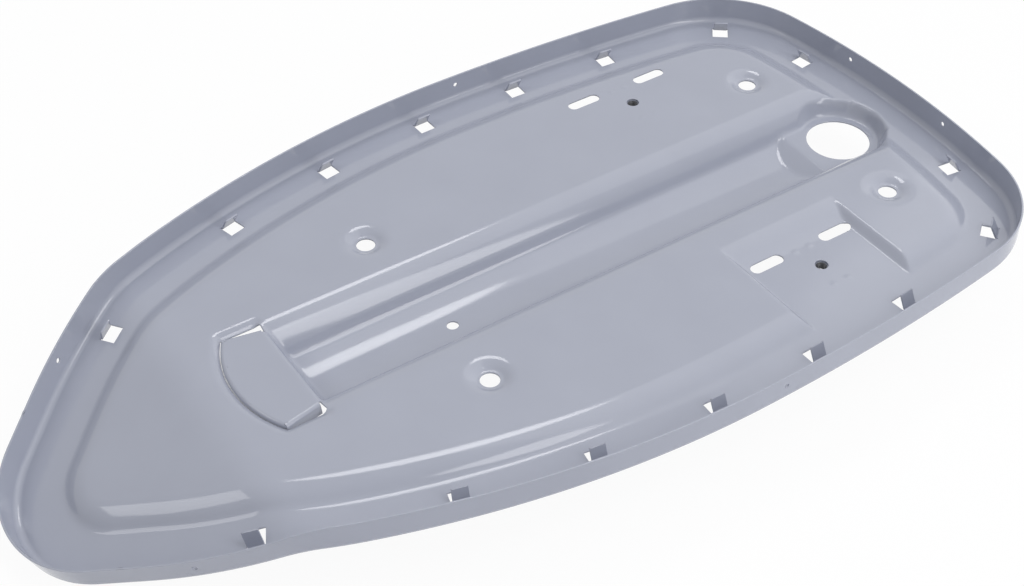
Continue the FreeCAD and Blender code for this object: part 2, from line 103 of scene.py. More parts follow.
def outlineSegments(o):
    # tangent pieces from the nose tip to the middle of the rear: an arc gives its middle, radius, first and
    # last angle, and the straight nose flank its two ends and the angle that it faces
    tip = np.array([o["noseRadius"] - o["noseReach"], 0.0])
    side = np.array([o["widestX"], o["halfWidth"] - o["sideFrontRadius"]])
    back = np.array([o["widestX"], o["halfWidth"] - o["sideRearRadius"]])
    rear = np.array([o["rearReach"] - o["rearRadius"], 0.0])
    aSide = math.acos((o["shoulderStart"] - o["widestX"]) / o["sideFrontRadius"])
    shoulder = side + heading(aSide) * (o["sideFrontRadius"] - o["shoulderRadius"])
    gap = shoulder - tip
    aNose = angleOf(gap) + math.acos((o["noseRadius"] - o["shoulderRadius"]) / np.hypot(*gap))
    # the corner's centre lies at fixed distances from the side's and the rear's centres
    rBack, rRear = o["sideRearRadius"] - o["cornerRadius"], o["rearRadius"] - o["cornerRadius"]
    step = rear - back
    span = np.hypot(*step)
    near = (rBack ** 2 - rRear ** 2 + span ** 2) / (2 * span)
    off = math.sqrt(rBack ** 2 - near ** 2)
    step = step / span
    corner = back + step * near + np.array([step[1], -step[0]]) * off
    aCorner, aRear = angleOf(corner - back), angleOf(corner - rear)
    facing = heading(aNose)
    return [
        ("arc", tip, o["noseRadius"], math.pi, aNose),
        ("line", tip + facing * o["noseRadius"], shoulder + facing * o["shoulderRadius"], aNose),
        ("arc", shoulder, o["shoulderRadius"], aNose, aSide),
        ("arc", side, o["sideFrontRadius"], aSide, math.pi / 2),
        ("arc", back, o["sideRearRadius"], math.pi / 2, aCorner),
        ("arc", corner, o["cornerRadius"], aCorner, aRear),
        ("arc", rear, o["rearRadius"], aRear, 0.0),
    ]


def segmentLength(seg):
    return np.hypot(*(seg[2] - seg[1])) if seg[0] == "line" else seg[2] * abs(seg[4] - seg[3])


segments = outlineSegments(outline)
lengths = np.array([segmentLength(seg) for seg in segments])
halfLength = lengths.sum()


def outlineAt(distance):
    # point and outward direction at a distance along the rim from the nose tip; past the rear middle
    # the path comes back along the mirrored side
    distance = np.asarray(distance, float) % (2 * halfLength)
    mirrored = distance > halfLength
    d = np.where(mirrored, 2 * halfLength - distance, distance)
    starts = np.concatenate([[0], np.cumsum(lengths)])
    point, out = np.zeros(d.shape + (2,)), np.zeros(d.shape + (2,))
    for seg, start, length in zip(segments, starts, lengths):
        share = np.clip((d - start) / length, 0, 1)[..., None]
        inside = ((d >= start) & (d <= start + length))[..., None]
        if seg[0] == "line":
            spot = seg[1] * (1 - share) + seg[2] * share
            turn = np.full(d.shape, seg[3])
        else:
            turn = seg[3] + (seg[4] - seg[3]) * share[..., 0]
            spot = seg[1] + seg[2] * np.stack([np.cos(turn), np.sin(turn)], -1)
        normal = np.stack([np.cos(turn), np.sin(turn)], -1)
        point = np.where(inside, spot, point)
        out = np.where(inside, normal, out)
    flip = np.where(mirrored, -1.0, 1.0)
    point[..., 1] *= flip
    out[..., 1] *= flip
    return point, out


def outlineRing(step):
    # places and outward directions all round, about one step apart
    count = int(round(2 * halfLength / step))
    return outlineAt(np.arange(count) * 2 * halfLength / count)


farAway = 1e3  # stands for no depth or distance found


def insetOf(x, y):
    # depth inside the outline (negative outside) and the outward direction there: each arc answers for
    # the points in its own sector, and the least depth holds
    side = np.where(y < 0, -1.0, 1.0)
    p = np.stack([x, np.abs(y)], -1)
    depth = np.full(x.shape, farAway)
    out = np.zeros(p.shape)
    for seg in segments:
        if seg[0] == "line":
            normal = heading(seg[3])
            run = np.array([normal[1], -normal[0]])
            t = (p - seg[1]) @ run
            mine = (t >= 0) & (t <= np.hypot(*(seg[2] - seg[1])))
            d = (seg[1] - p) @ normal
            direction = np.broadcast_to(normal, p.shape)
        else:
            v = p - seg[1]
            r = np.hypot(v[..., 0], v[..., 1])
            turn = np.arctan2(v[..., 1], v[..., 0])
            low, high = sorted((seg[3], seg[4]))
            mine = (turn >= low - least["angle"]) & (turn <= high + least["angle"]) & (r > least["length"])
            d = seg[2] - r
            direction = v / np.maximum(r, least["length"])[..., None]
        better = mine & (d < depth)
        depth = np.where(better, d, depth)
        out = np.where(better[..., None], direction, out)
    out[..., 1] *= side
    return depth, out


# sheet, border section and pressed forms, in millimetres and degrees
form = {
    "sheet": 1.0, "edgeRound": 0.3, "lift": 2.6, "pressRadius": 0.7,
    "rimTop": 11.0, "gutterDrop": 4.4, "rimFillet": 3.4,
    "gutterInset": 25.0, "floorInset": 41.0, "toeRadius": 8.0,
    "bendStart": -243.5, "bendRadius": 47.5, "bendAngle": 21.0,
    "channelHalf": 37.2, "channelDepth": 19.3, "channelFlank": 65.0,
    "channelEdge": 17.0, "channelToe": 2.0, "channelFloor": 51.0,
    "channelFront": -206.0, "channelFrontSlope": 70.0, "channelRear": 176.0, "channelRearSlope": 60.0,
    "channelEndRadius": 3.0, "channelFoot": 2.0, "frontRun": 3.0, "channelCorner": 22.0, "channelBlend": 7.0,
    "channelRamp": 27.0, "rampBlend": 1.2, "rampEase": 0.8,
    "seatX": 148.5, "seatDepth": 13.4, "seatApron": 2.0, "seatRadius": 23.0, "seatSlope": 70.0,
    "seatHole": 36.0, "drain": (-114.7, -2.5, 6.3),
    "tongueFront": -235.25, "tongueRadius": 64.25, "tongueHalf": 32.5, "tongueRearHalf": 28.5,
    "slit": 0.3, "sideSlotY": 35.2, "slotEndRadius": 1.7, "slotEnd": -204.0, "lipWidth": 5.8, "lipDrop": 2.6,
    "frontFlange": 6.4, "frontLean": 9.0, "cornerReach": 1.5, "tongueSlack": 0.3,
    "flangeHeight": 6.5, "flangeAngle": 80.0, "flangeRadius": 1.0,
    "stripRoot": 0.6, "stripSunk": 0.02, "stripRound": 0.21,
    "bufferX": 129.0, "bufferY": 59.5, "bufferHole": 10.0,
    "funnelRadius": 15.8, "funnelPower": 2.5, "dishFloor": 6.7, "dishDrop": 2.6,
    "bracketX": 60.75, "slotPitch": 46.5, "slotLength": 20.5, "slotWidth": 6.7, "nutOffset": 16.0,
    "farSlotY": 96.3, "nearSlotY": -67.4, "nutClearance": 7.0,
    "padFront": 20.0, "padRear": 99.0, "padInnerY": -47.0,
    "padWall": 45.0, "padInner": 24.0, "padRadius": 2.0, "padFoot": 1.0,
    "claw": 9.2, "clawInset": 14.2, "clawAngle": 62.0, "clawRadius": 1.0,
    "clawStations": (128.0, 226.0, 295.0, 362.5, 425.5, 489.0, 576.0, 644.5),
    "rimHole": 2.5, "rimHoleZ": 4.7, "rimHoleStations": (103.0, 393.0, 670.0),
}


def roundedStep(t, drop, slope, topRadius, footRadius):
    # depth along t of a wall that leaves the level at t = 0: an arc, a straight slope and a foot arc
    a = math.radians(slope)
    straight = max(0.0, (drop - (topRadius + footRadius) * (1 - math.cos(a))) / math.sin(a))
    t1 = topRadius * math.sin(a)
    t2 = t1 + straight * math.cos(a)
    t3 = t2 + footRadius * math.sin(a)
    top = topRadius - np.sqrt(np.maximum(topRadius ** 2 - np.clip(t, 0, t1) ** 2, 0))
    wall = (np.clip(t, t1, t2) - t1) * math.tan(a)
    foot = np.clip(t3 - np.clip(t, t2, t3), 0, footRadius)
    low = footRadius - np.sqrt(np.maximum(footRadius ** 2 - foot ** 2, 0))
    return np.where(t < t2, top + wall, drop - low)


def borderDepth(inset, f):
    # the step from floor to gutter: a large brow arc and a toe arc that meet at the same slope
    run = f["floorInset"] - f["gutterInset"]
    slope = 2 * math.atan2(f["gutterDrop"], run)
    brow = run / math.sin(slope) - f["toeRadius"]
    return roundedStep(f["floorInset"] - inset, f["gutterDrop"], math.degrees(slope), brow, f["toeRadius"])


def channelArcs(f):
    # middles (across, height) of the floor, edge and toe arcs on the +Y side and the angle at which toe and
    # floor meet: the toe arc touches the flank and, from inside, the floor arc
    a = math.radians(f["channelFlank"])
    floor = np.array([0.0, f["channelFloor"] - f["channelDepth"]])
    edge = np.array([f["channelHalf"], -f["channelEdge"]])
    down = -np.array([math.cos(a), math.sin(a)])
    above = edge + np.array([-math.sin(a), math.cos(a)]) * (f["channelEdge"] + f["channelToe"])
    gap = above - floor
    along = gap @ down
    reach = f["channelFloor"] - f["channelToe"]
    toe = above + down * (math.sqrt(along ** 2 - gap @ gap + reach ** 2) - along)
    return floor, edge, toe, math.atan2(toe[0], floor[1] - toe[1])


def channelKnots(f):
    # places across where floor arc, toe arc, flank and edge arc end
    a = math.radians(f["channelFlank"])
    _, edge, toe, meet = channelArcs(f)
    return (f["channelFloor"] * math.sin(meet), toe[0] + f["channelToe"] * math.sin(a),
            edge[0] - f["channelEdge"] * math.sin(a), edge[0])


def channelSection(y, f):
    # depth across the trough, each stretch by its own circle or line
    y = np.abs(y)
    floor, edge, toe, _ = channelArcs(f)
    y1, y2, y3, y4 = channelKnots(f)

    def circleZ(middle, radius, side, low, high):
        way = np.clip(y, low, high) - middle[0]
        return middle[1] + side * np.sqrt(np.maximum(radius ** 2 - way ** 2, 0))

    onFloor = circleZ(floor, f["channelFloor"], -1, 0, y1)
    onToe = circleZ(toe, f["channelToe"], -1, y1, y2)
    onEdge = circleZ(edge, f["channelEdge"], 1, y3, y4)
    foot = toe[1] - f["channelToe"] * math.cos(math.radians(f["channelFlank"]))
    onFlank = foot + (y - y2) * math.tan(math.radians(f["channelFlank"]))
    return -np.select([y < y1, y < y2, y < y3, y < y4], [onFloor, onToe, onFlank, onEdge], 0.0)


def softLesser(a, b, blend):
    # the lesser of two depths, eased over the blend where they are nearly equal, less so near the floor
    reach = np.maximum(np.minimum(blend, np.minimum(a, b)), least["length"])
    share = np.maximum(reach - np.abs(a - b), 0) / reach
    return np.minimum(a, b) - share ** 2 * reach / 4


def channelDepth(x, y, f):
    # the section across, held back by the front wall, the ramp up to the seat and the rear wall, with the two
    # rear corners rounded in plan; the front wall runs on below the floor, so that it cuts nothing off it
    r = f["channelCorner"]
    inY, inX = f["channelHalf"] - np.abs(y), f["channelRear"] - x
    inCorner = (inY < r) & (inX < r)
    cornerWay = r - np.hypot(r - inY, r - inX)
    inY, inX = np.where(inCorner, cornerWay, inY), np.where(inCorner, cornerWay, inX)
    across = channelSection(f["channelHalf"] - inY, f)
    front = roundedStep(x - f["channelFront"], f["frontRun"] * f["channelDepth"], f["channelFrontSlope"],
                        f["channelEndRadius"], f["channelFoot"])
    rear = roundedStep(inX, f["channelDepth"], f["channelRearSlope"], f["channelEndRadius"], f["channelFoot"])
    ahead = f["seatX"] - f["seatRadius"] - f["seatApron"] - x
    rise = math.tan(math.radians(f["channelRamp"]))
    ramp = f["seatDepth"] + (ahead + np.hypot(ahead, f["rampEase"])) / 2 * rise
    trough = softLesser(softLesser(across, front, f["channelBlend"]), ramp, f["rampBlend"])
    return np.minimum(trough, rear)


def seatDepth(x, y, f):
    # a flat disc with a cone wall round it
    r = np.hypot(x - f["seatX"], y)
    wall = f["seatDepth"] - (r - f["seatRadius"]) * math.tan(math.radians(f["seatSlope"]))
    return np.clip(wall, 0, f["seatDepth"])


def dishDepth(x, y, f):
    # a small funnel round each buffer hole: its depth grows with a power of the way in, down to a flat floor
    r = np.hypot(np.abs(x) - f["bufferX"], np.abs(y) - f["bufferY"])
    way = np.clip((f["funnelRadius"] - r) / (f["funnelRadius"] - f["dishFloor"]), 0, 1)
    return f["dishDrop"] * way ** f["funnelPower"]


def padDepth(x, y, f):
    # a tray open to the gutter: steep ends along X, a soft wall on its inner side
    ends = np.minimum(x - f["padFront"], f["padRear"] - x)
    steep = roundedStep(ends, f["gutterDrop"], f["padWall"], f["padRadius"], f["padFoot"])
    a = math.radians(f["padInner"])
    bend = f["gutterDrop"] / 2 / (1 - math.cos(a))
    soft = roundedStep(f["padInnerY"] - y, f["gutterDrop"], f["padInner"], bend, bend)
    return np.minimum(steep, soft)


tongueCentre = form["tongueFront"] + form["tongueRadius"]
slitRadius = form["tongueRadius"] + form["slit"]
flatRadius = form["tongueRadius"] - form["flangeRadius"] - form["sheet"]
flatCornerX = tongueCentre - math.sqrt(flatRadius ** 2 - form["tongueHalf"] ** 2)
slitCornerX = tongueCentre - math.sqrt(slitRadius ** 2 - form["sideSlotY"] ** 2)
slotStraightEnd = form["slotEnd"] - form["slotEndRadius"]


def lipDepth(x, y, f):
    # the floor rolls down on one arc towards the tongue's gap; inside the gap the depth stays
    y = np.abs(y)
    front = np.hypot(x - tongueCentre, y) - slitRadius
    side = y - f["sideSlotY"]
    turn = np.arctan2(y, tongueCentre - x)
    ahead = turn < math.asin(f["sideSlotY"] / slitRadius)
    corner = np.hypot(x - slitCornerX, y - f["sideSlotY"])
    tail = np.hypot(np.maximum(x - slotStraightEnd, 0), np.maximum(side, 0))
    beside = np.where(x < slitCornerX, corner, np.where(side > 0, tail, side))
    d = np.where(ahead & (x < tongueCentre), front, beside)
    d = np.where((x > slotStraightEnd) & (side <= 0), farAway, d)
    bend = (f["lipWidth"] ** 2 + f["lipDrop"] ** 2) / (2 * f["lipDrop"])
    t = np.clip(f["lipWidth"] - d, 0, f["lipWidth"])
    return bend - np.sqrt(bend ** 2 - t ** 2)


def blur(z, cells):
    # separable Gaussian, cut off at four deviations, so that every crease gets the press tool's radius
    reach = int(4 * cells)
    weights = np.exp(-0.5 * (np.arange(-reach, reach + 1) / cells) ** 2)
    weights /= weights.sum()
    padded = np.pad(z, reach, mode="edge")
    rows = sum(w * padded[:, i:i + z.shape[1]] for i, w in enumerate(weights))
    return sum(w * rows[i:i + z.shape[0]] for i, w in enumerate(weights))


def heightMap(f, withLip):
    # top of the sheet over a plan grid: the deepest form at each place, softened
    x, y = np.meshgrid(mapX, mapY)
    inset, _ = insetOf(x, y)
    depth = borderDepth(np.maximum(inset, f["gutterInset"]), f)
    for more in (channelDepth(x, y, f), seatDepth(x, y, f), dishDepth(x, y, f), padDepth(x, y, f)):
        depth = np.maximum(depth, more)
    if withLip:
        depth = np.maximum(depth, lipDepth(x, y, f))
    return blur(-depth, f["pressRadius"] / mapStep)


# plan grid of the height maps, in millimetres, which covers the flat blank
mapStep = 0.5
mapX = np.arange(-362.0, 200.0, mapStep)
mapY = np.arange(-156.0, 156.0, mapStep)
floorMap = heightMap(form, True)
tongueMap = heightMap(form, False)
print("height maps:", floorMap.shape)

# weld marks round each nut and the sheet's faint waviness
marks = {
    "spanX": 9.6, "spanY": 30.0, "height": 0.22, "size": 1.0,
    "wave": 0.05, "waveX": 95.0, "waveY": 123.5, "startX": 0.7, "startY": 0.4,
}


def surfaceDetail(x, y, f, m):
    # four small mounds round each nut on top of long, shallow waves
    turn = 2 * math.pi
    z = m["wave"] * np.sin(turn * x / m["waveX"] + m["startX"]) * np.cos(turn * y / m["waveY"] + m["startY"])
    for slotY in (f["farSlotY"], f["nearSlotY"]):
        u = np.abs(x - f["bracketX"]) - m["spanX"] / 2
        v = np.abs(y - (slotY - f["nutOffset"])) - m["spanY"] / 2
        z = z + m["height"] * np.exp(-0.5 * (u * u + v * v) / m["size"] ** 2)
    return z


def sampleMap(z, x, y):
    # height by bilinear sampling of a map
    u = np.clip((x - mapX[0]) / mapStep, 0, len(mapX) - 2)
    v = np.clip((y - mapY[0]) / mapStep, 0, len(mapY) - 2)
    i, j = np.minimum(u.astype(int), len(mapX) - 2), np.minimum(v.astype(int), len(mapY) - 2)
    s, t = u - i, v - j
    low = z[j, i] * (1 - s) + z[j, i + 1] * s
    high = z[j + 1, i] * (1 - s) + z[j + 1, i + 1] * s
    return low * (1 - t) + high * t


def floorSurface(x, y, tongue, f):
    # height and upward normal of the sheet's top, the slope by central differences
    def height(px, py):
        pressed = np.where(tongue, sampleMap(tongueMap, px, py), sampleMap(floorMap, px, py))
        return pressed + surfaceDetail(px, py, f, marks)
    e = mapStep
    slopeX = (height(x + e, y) - height(x - e, y)) / (2 * e)
    slopeY = (height(x, y + e) - height(x, y - e)) / (2 * e)
    normal = np.stack([-slopeX, -slopeY, np.ones_like(x)], -1)
    return height(x, y), normal / np.linalg.norm(normal, axis=-1, keepdims=True)


flatEdge = form["sheet"] + form["rimFillet"]          # inset at which the rim's fillet starts
filletLength = form["rimFillet"] * math.pi / 2
wallLength = form["rimTop"] + form["gutterDrop"] - form["rimFillet"]
blankEdge = flatEdge - filletLength - wallLength      # inset of the rim's edge in the flat blank


def sheetTop(x, y, tongue, f):
    # blank place to pressed place: inside the gutter the height map, outside it the fillet's arc and then
    # the upright rim
    inset, out = insetOf(x, y)
    z, normal = floorSurface(x, y, tongue, f)
    place = np.stack([x, y, z], -1)
    turn = np.clip((flatEdge - inset) / f["rimFillet"], 0, math.pi / 2)
    rise = np.maximum(flatEdge - filletLength - inset, 0)
    depth = flatEdge - f["rimFillet"] * np.sin(turn)
    edge = np.stack([x, y], -1) + out * inset[..., None]
    spot = edge - out * depth[..., None]
    rimZ = -f["gutterDrop"] + f["rimFillet"] * (1 - np.cos(turn)) + rise
    onRim = (inset < flatEdge)[..., None]
    rimPlace = np.concatenate([spot, rimZ[..., None]], -1)
    rimNormal = np.concatenate([-out * np.sin(turn)[..., None], np.cos(turn)[..., None]], -1)
    return np.where(onRim, rimPlace, place), np.where(onRim, rimNormal, normal)


# points that carry the pan's triangles: steps in millimetres along edges, points per circle or row, and rows
# and patches as start, end and step, with the bare strip round a patch
net = {
    "holeGap": 0.55, "rimEdge": 2.4, "slotEdge": 1.5, "gapEdge": 1.2, "clawEdge": 1.15,
    "bufferHole": 40, "seatHole": 96, "drainHole": 28, "nutHole": 32, "rimHole": 20,
    "slotEnd": 13, "gapEnd": 6, "gapFront": 41,
    "bendRows": 9, "legRows": 4, "stripColumns": 9, "flangeColumns": 61,
    "dishRings": (0.8, 2.0, 0.85), "dishCount": 44, "dishStrip": 0.8,
    "seatFlat": (0.8, 1.1), "seatWall": (30.0, 0.6), "seatOuter": (30.5, 40.0, 1.0),
    "seatCount": 130, "seatStrip": 0.5,
    "nutPatch": (8.0, 18.0, 0.8, 0.5),
    "padEnds": (2.0, 9.0, 0.85), "padEndsY": (-126.0, -45.0, 1.2), "padEndsStrip": 0.5,
    "padMiddle": (9.5, 2.4), "padMiddleY": (-124.0, -46.0, 1.6), "padStripX": 1.5, "padStripY": 1.0,
    "wallX": (-208.0, -186.0, 0.8), "wallY": (-42.0, 42.0, 0.8), "wallStrip": 0.4,
    "tongueX": (-246.0, -182.0, 1.25), "tongueY": (-44.0, 44.0, 1.25), "tongueStrip": 0.8,
    "channelX": (-180.0, 182.0, 3.4), "channelZone": (-182.0, 183.0, 0.5), "channelCounts": (13, 11, 15),
    "rimStep": 2.95, "rimStart": 0.5, "rimRows": 6, "gutterRows": (2.0, -1.0, 2.1),
    "toeRows": (7.5, 1.1), "browRows": (8.6, 1.5, 2.0), "rimStrip": 1.5,
    "coarseX": (-320.0, 160.0, 4.6), "coarseY": (-120.0, 120.0, 4.0),
}


def circle(x, y, radius, count):
    turn = np.linspace(0, 2 * math.pi, count, endpoint=False)
    return np.stack([x + radius * np.cos(turn), y + radius * np.sin(turn)], -1)


def densify(corners, spacing):
    # a closed loop of corners with points added along its runs
    nextOnes = np.roll(corners, -1, axis=0)
    runs = []
    for a, b in zip(corners, nextOnes):
        count = max(1, int(round(np.hypot(*(b - a)) / spacing)))
        runs.append(a + (b - a) * (np.arange(count) / count)[:, None])
    return np.concatenate(runs)


def slotLoop(x, y, length, width):
    turn = np.linspace(-math.pi / 2, math.pi / 2, net["slotEnd"])
    half = length / 2 - width / 2
    right = np.stack([x + half + width / 2 * np.cos(turn), y + width / 2 * np.sin(turn)], -1)
    left = np.stack([x - half - width / 2 * np.cos(turn), y - width / 2 * np.sin(turn)], -1)
    return densify(np.concatenate([right, left]), net["slotEdge"])


def gapLoop(f):
    # the U-shaped gap round the tongue: out along its outer edge, back along the tongue
    r, end = f["slotEndRadius"], slotStraightEnd
    turn = math.asin(f["sideSlotY"] / slitRadius)
    sweep = np.linspace(turn, -turn, net["gapFront"])
    outer = np.stack([tongueCentre - slitRadius * np.cos(sweep), slitRadius * np.sin(sweep)], -1)
    tip = np.linspace(0, math.pi / 2, net["gapEnd"])
    tail = np.stack([end + r * np.cos(tip), f["sideSlotY"] - r + r * np.sin(tip)], -1)
    inTurn = math.asin(f["tongueHalf"] / flatRadius)
    inSweep = np.linspace(-inTurn, inTurn, net["gapFront"])
    inner = np.stack([tongueCentre - flatRadius * np.cos(inSweep), flatRadius * np.sin(inSweep)], -1)
    rootFar = np.array([[f["slotEnd"], f["tongueRearHalf"]]])
    rootNear = np.array([[f["slotEnd"], -f["tongueRearHalf"]]])
    nearTail = tail[::-1] * [1, -1]
    return densify(np.concatenate([rootFar, tail, outer, nearTail, rootNear, inner]), net["gapEdge"])


def clawLoop(distance, f):
    # square hole whose sides follow the rim
    point, out = outlineAt(distance)
    along = np.array([-out[1], out[0]])
    h = f["claw"] / 2
    middle = point - out * f["clawInset"]
    signs = ((1, 1), (-1, 1), (-1, -1), (1, -1))
    return densify(np.array([middle + out * a * h + along * b * h for a, b in signs]), net["clawEdge"])


def rimHoleLoop(distance, f):
    point, out = outlineAt(distance)
    inset = blankEdge + f["rimTop"] - f["rimHoleZ"]
    return circle(*(point - out * inset), f["rimHole"] / 2, net["rimHole"])


def mirroredStations(stations):
    return list(stations) + [2 * halfLength - s for s in stations]


def bufferMiddles(f):
    return [(sx * f["bufferX"], sy * f["bufferY"]) for sx in (-1, 1) for sy in (-1, 1)]


def holeLoops(f):
    loops = [circle(*middle, f["bufferHole"] / 2, net["bufferHole"]) for middle in bufferMiddles(f)]
    loops.append(circle(f["seatX"], 0, f["seatHole"] / 2, net["seatHole"]))
    loops.append(circle(*f["drain"][:2], f["drain"][2] / 2, net["drainHole"]))
    for y in (f["farSlotY"], f["nearSlotY"]):
        for side in (-1, 1):
            x = f["bracketX"] + side * f["slotPitch"] / 2
            loops.append(slotLoop(x, y, f["slotLength"], f["slotWidth"]))
        loops.append(circle(f["bracketX"], y - f["nutOffset"], f["nutClearance"] / 2, net["nutHole"]))
    loops.append(gapLoop(f))
    loops += [clawLoop(s, f) for s in mirroredStations(f["clawStations"])]
    loops += [rimHoleLoop(s, f) for s in mirroredStations(f["rimHoleStations"])]
    return loops


def insidePolygon(points, loop):
    # crossing count of a ray to the right, for the points in the loop's box
    inside = np.zeros(len(points), bool)
    near = np.all((points >= loop.min(0)) & (points <= loop.max(0)), axis=1)
    p = points[near]
    a, b = loop, np.roll(loop, -1, axis=0)
    above = (a[:, 1] > p[:, 1:2]) != (b[:, 1] > p[:, 1:2])
    dy = np.where(b[:, 1] == a[:, 1], 1.0, b[:, 1] - a[:, 1])
    cross = a[:, 0] + (p[:, 1:2] - a[:, 1]) * (b[:, 0] - a[:, 0]) / dy
    inside[near] = np.count_nonzero(above & (p[:, 0:1] < cross), axis=1) % 2 == 1
    return inside


def clearOf(points, loop, margin):
    # true for points outside the loop and at least margin from its points
    keep = ~insidePolygon(points, loop)
    near = np.flatnonzero(np.all((points >= loop.min(0) - margin) & (points <= loop.max(0) + margin), axis=1))
    gap = np.linalg.norm(points[near][:, None] - loop[None], axis=2).min(1) if len(near) else np.zeros(0)
    keep[near] &= gap > margin
    return keep


def gridPoints(xs, ys):
    # all crossings of two rows of places, each given as first, last and step
    x, y = np.meshgrid(*(np.arange(low, high + least["length"], step) for low, high, step in (xs, ys)))
    return np.stack([x.ravel(), y.ravel()], -1)


def discZone(x, y, radius):
    return lambda p: np.hypot(p[:, 0] - x, p[:, 1] - y) < radius


def boxZone(x0, x1, y0, y1):
    return lambda p: (p[:, 0] > x0) & (p[:, 0] < x1) & (p[:, 1] > y0) & (p[:, 1] < y1)


def rimRowInsets(f, n):
    # places of the rows that follow the outline: upright, fillet, gutter, toe and brow
    upright = flatEdge - filletLength
    fillet = np.arange(1, n["rimRows"] + 1) / n["rimRows"]
    gutterStart, gutterEnd, gutterStep = n["gutterRows"]
    toeEnd, toeStep = n["toeRows"]
    browStart, browEnd, browStep = n["browRows"]
    return np.concatenate([
        np.linspace(blankEdge + n["rimStart"], upright, n["rimRows"]),
        flatEdge - filletLength * (1 - fillet),
        np.arange(flatEdge + gutterStart, f["gutterInset"] + gutterEnd, gutterStep),
        np.arange(f["gutterInset"], f["gutterInset"] + toeEnd, toeStep),
        np.arange(f["gutterInset"] + browStart, f["floorInset"] + browEnd, browStep)])


def blankPoints(f, loops, n):
    # finer sets where the sheet is shaped, coarse ones where it is flat;
    # each set keeps later ones out of its zone
    sets, zones = [], []

    def addSet(points, zone):
        for taken in zones:
            points = points[~taken(points)]
        sets.append(points)
        zones.append(zone)

    def addPatch(xs, ys, stripX, stripY):
        addSet(gridPoints(xs, ys), boxZone(xs[0] - stripX, xs[1] + stripX, ys[0] - stripY, ys[1] + stripY))

    start, end, step = n["dishRings"]
    radii = np.arange(f["bufferHole"] / 2 + start, f["funnelRadius"] + end, step)
    for middle in bufferMiddles(f):
        rings = np.concatenate([circle(*middle, r, n["dishCount"]) for r in radii])
        addSet(rings, discZone(*middle, radii[-1] + n["dishStrip"]))
    start, step = n["seatFlat"]
    radii = np.concatenate([
        np.arange(f["seatHole"] / 2 + start, f["seatRadius"], step),
        np.arange(f["seatRadius"], *n["seatWall"]), np.arange(*n["seatOuter"])])
    rings = np.concatenate([circle(f["seatX"], 0, r, n["seatCount"]) for r in radii])
    addSet(rings, discZone(f["seatX"], 0, radii[-1] + n["seatStrip"]))
    halfX, halfY, step, strip = n["nutPatch"]
    for slotY in (f["farSlotY"], f["nearSlotY"]):
        x, y = f["bracketX"], slotY - f["nutOffset"]
        addPatch((x - halfX, x + halfX, step), (y - halfY, y + halfY, step), strip, strip)
    outside, inside, step = n["padEnds"]
    frontEnd = (f["padFront"] - outside, f["padFront"] + inside, step)
    rearEnd = (f["padRear"] - inside, f["padRear"] + outside, step)
    for xs in (frontEnd, rearEnd):
        addPatch(xs, n["padEndsY"], n["padEndsStrip"], n["padEndsStrip"])
    inside, step = n["padMiddle"]
    middleX = (f["padFront"] + inside, f["padRear"] - inside, step)
    addPatch(middleX, n["padMiddleY"], n["padStripX"], n["padStripY"])
    addPatch(n["wallX"], n["wallY"], n["wallStrip"], n["wallStrip"])
    addPatch(n["tongueX"], n["tongueY"], n["tongueStrip"], n["tongueStrip"])
    y1, _, y3, y4 = channelKnots(f)
    floorCount, flankCount, edgeCount = n["channelCounts"]
    turns = np.radians(np.linspace(f["channelFlank"], 0, edgeCount))
    half = np.concatenate([
        np.linspace(0, y1, floorCount), np.linspace(y1, y3, flankCount)[1:],
        y4 - f["channelEdge"] * np.sin(turns[1:])])
    across = np.unique(np.concatenate([-half, half]))
    rows = np.stack(np.meshgrid(np.arange(*n["channelX"]), across), -1).reshape(-1, 2)
    front, rear, strip = n["channelZone"]
    addSet(rows, boxZone(front, rear, -y4 - strip, y4 + strip))
    point, out = outlineRing(n["rimStep"])
    insets = rimRowInsets(f, n)
    rows = (point[None] - out[None] * insets[:, None, None]).reshape(-1, 2)
    addSet(rows, lambda p: insetOf(p[:, 0], p[:, 1])[0] < insets[-1] + n["rimStrip"])
    coarse = gridPoints(n["coarseX"], n["coarseY"])
    odd = np.round((coarse[:, 1] - n["coarseY"][0]) / n["coarseY"][2]) % 2 == 1
    coarse[:, 0] += np.where(odd, n["coarseX"][2] / 2, 0.0)
    addSet(coarse, None)
    points = np.concatenate(sets)
    for loop in loops:
        points = points[clearOf(points, loop, n["holeGap"])]
    point, out = outlineRing(n["rimEdge"])
    return points, point - out * blankEdge


def trimmedBlank(f):
    # constrained triangles over the blank's points, less those that lie in a hole
    loops = holeLoops(f)
    points, edge = blankPoints(f, loops, net)
    bounds = [edge] + loops
    parts, edges, start = [], [], 0
    for loop in bounds:
        index = np.arange(len(loop)) + start
        edges.append(np.stack([index, np.roll(index, -1)], -1))
        parts.append(loop)
        start += len(loop)
    parts.append(points)
    places = [Vector(p) for p in np.concatenate(parts).tolist()]
    found = geometry.delaunay_2d_cdt(places, np.concatenate(edges).tolist(), [], 0, least["merge"])
    blank = np.array([tuple(v) for v in found[0]])
    triangles = np.array([t for t in found[2] if len(t) == 3])
    a, b, c = (blank[triangles[:, i]] for i in range(3))
    area = (b[:, 0] - a[:, 0]) * (c[:, 1] - a[:, 1]) - (b[:, 1] - a[:, 1]) * (c[:, 0] - a[:, 0])
    triangles = np.where((area > 0)[:, None], triangles, triangles[:, [0, 2, 1]])
    middle = (a + b + c) / 3
    keep = (np.abs(area) > least["area"]) & insidePolygon(middle, edge)
    for loop in loops:
        keep &= ~insidePolygon(middle, loop)
    triangles = triangles[keep]
    used, triangles = np.unique(triangles, return_inverse=True)
    return blank[used], triangles.reshape(-1, 3)


